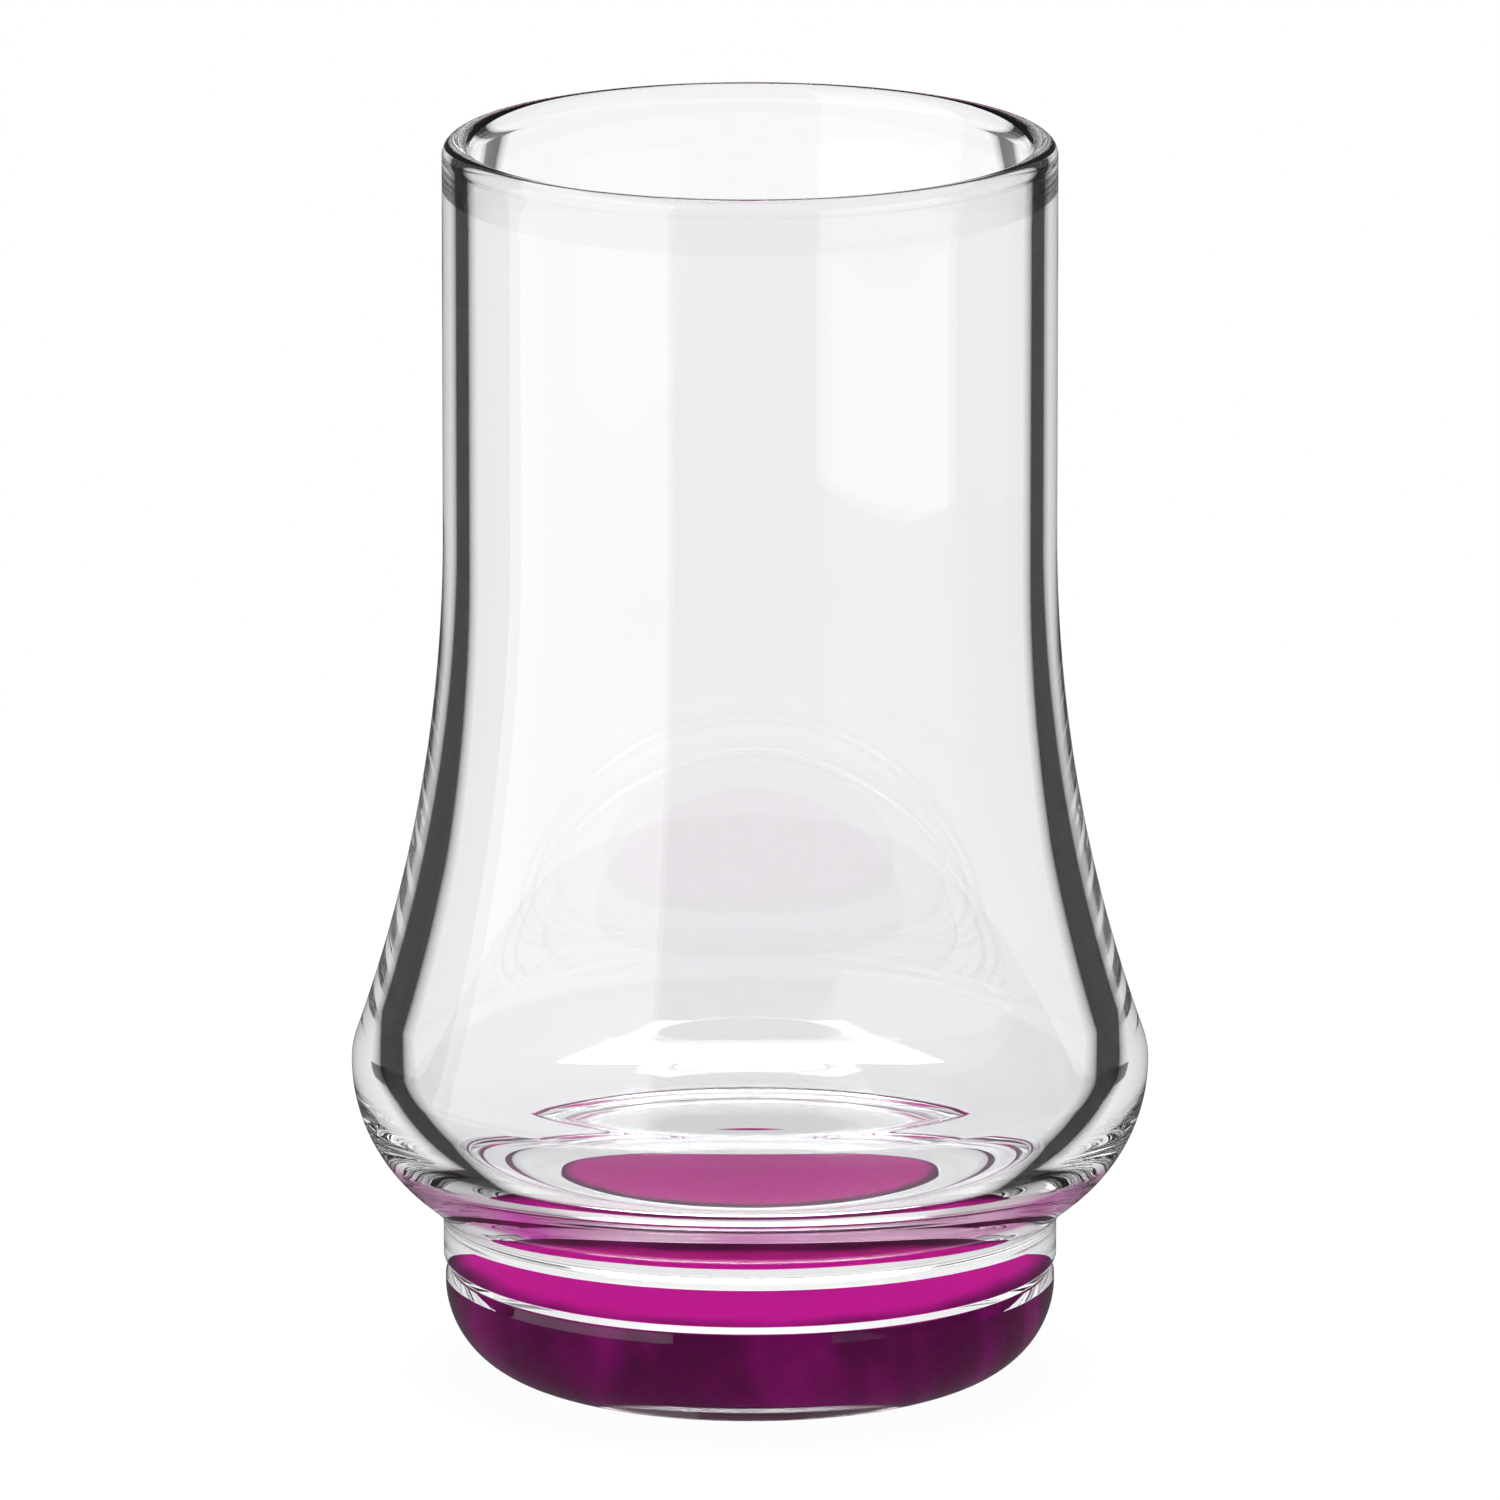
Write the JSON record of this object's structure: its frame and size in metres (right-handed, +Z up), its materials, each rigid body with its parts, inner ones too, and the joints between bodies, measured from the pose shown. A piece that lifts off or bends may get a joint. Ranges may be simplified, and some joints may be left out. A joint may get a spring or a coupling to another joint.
{
  "type": "whisky tasting glass",
  "caption": "Clear tasting glass with a straight chimney above a wide bulb, on a thick grooved foot whose hollow underside is coated magenta.",
  "frame": {"origin": "on the table, at the centre of the foot", "axes": "+Z up along the glass's axis"},
  "size_m": [0.0636, 0.0636, 0.1],
  "materials": {
    "clear_glass": "clear, fire-polished",
    "magenta_coat": "solid gloss lacquer"
  },
  "bodies": {
    "root": {"glass_body": "clear_glass", "recess_coat": "magenta_coat"}
  },
  "joints": []
}
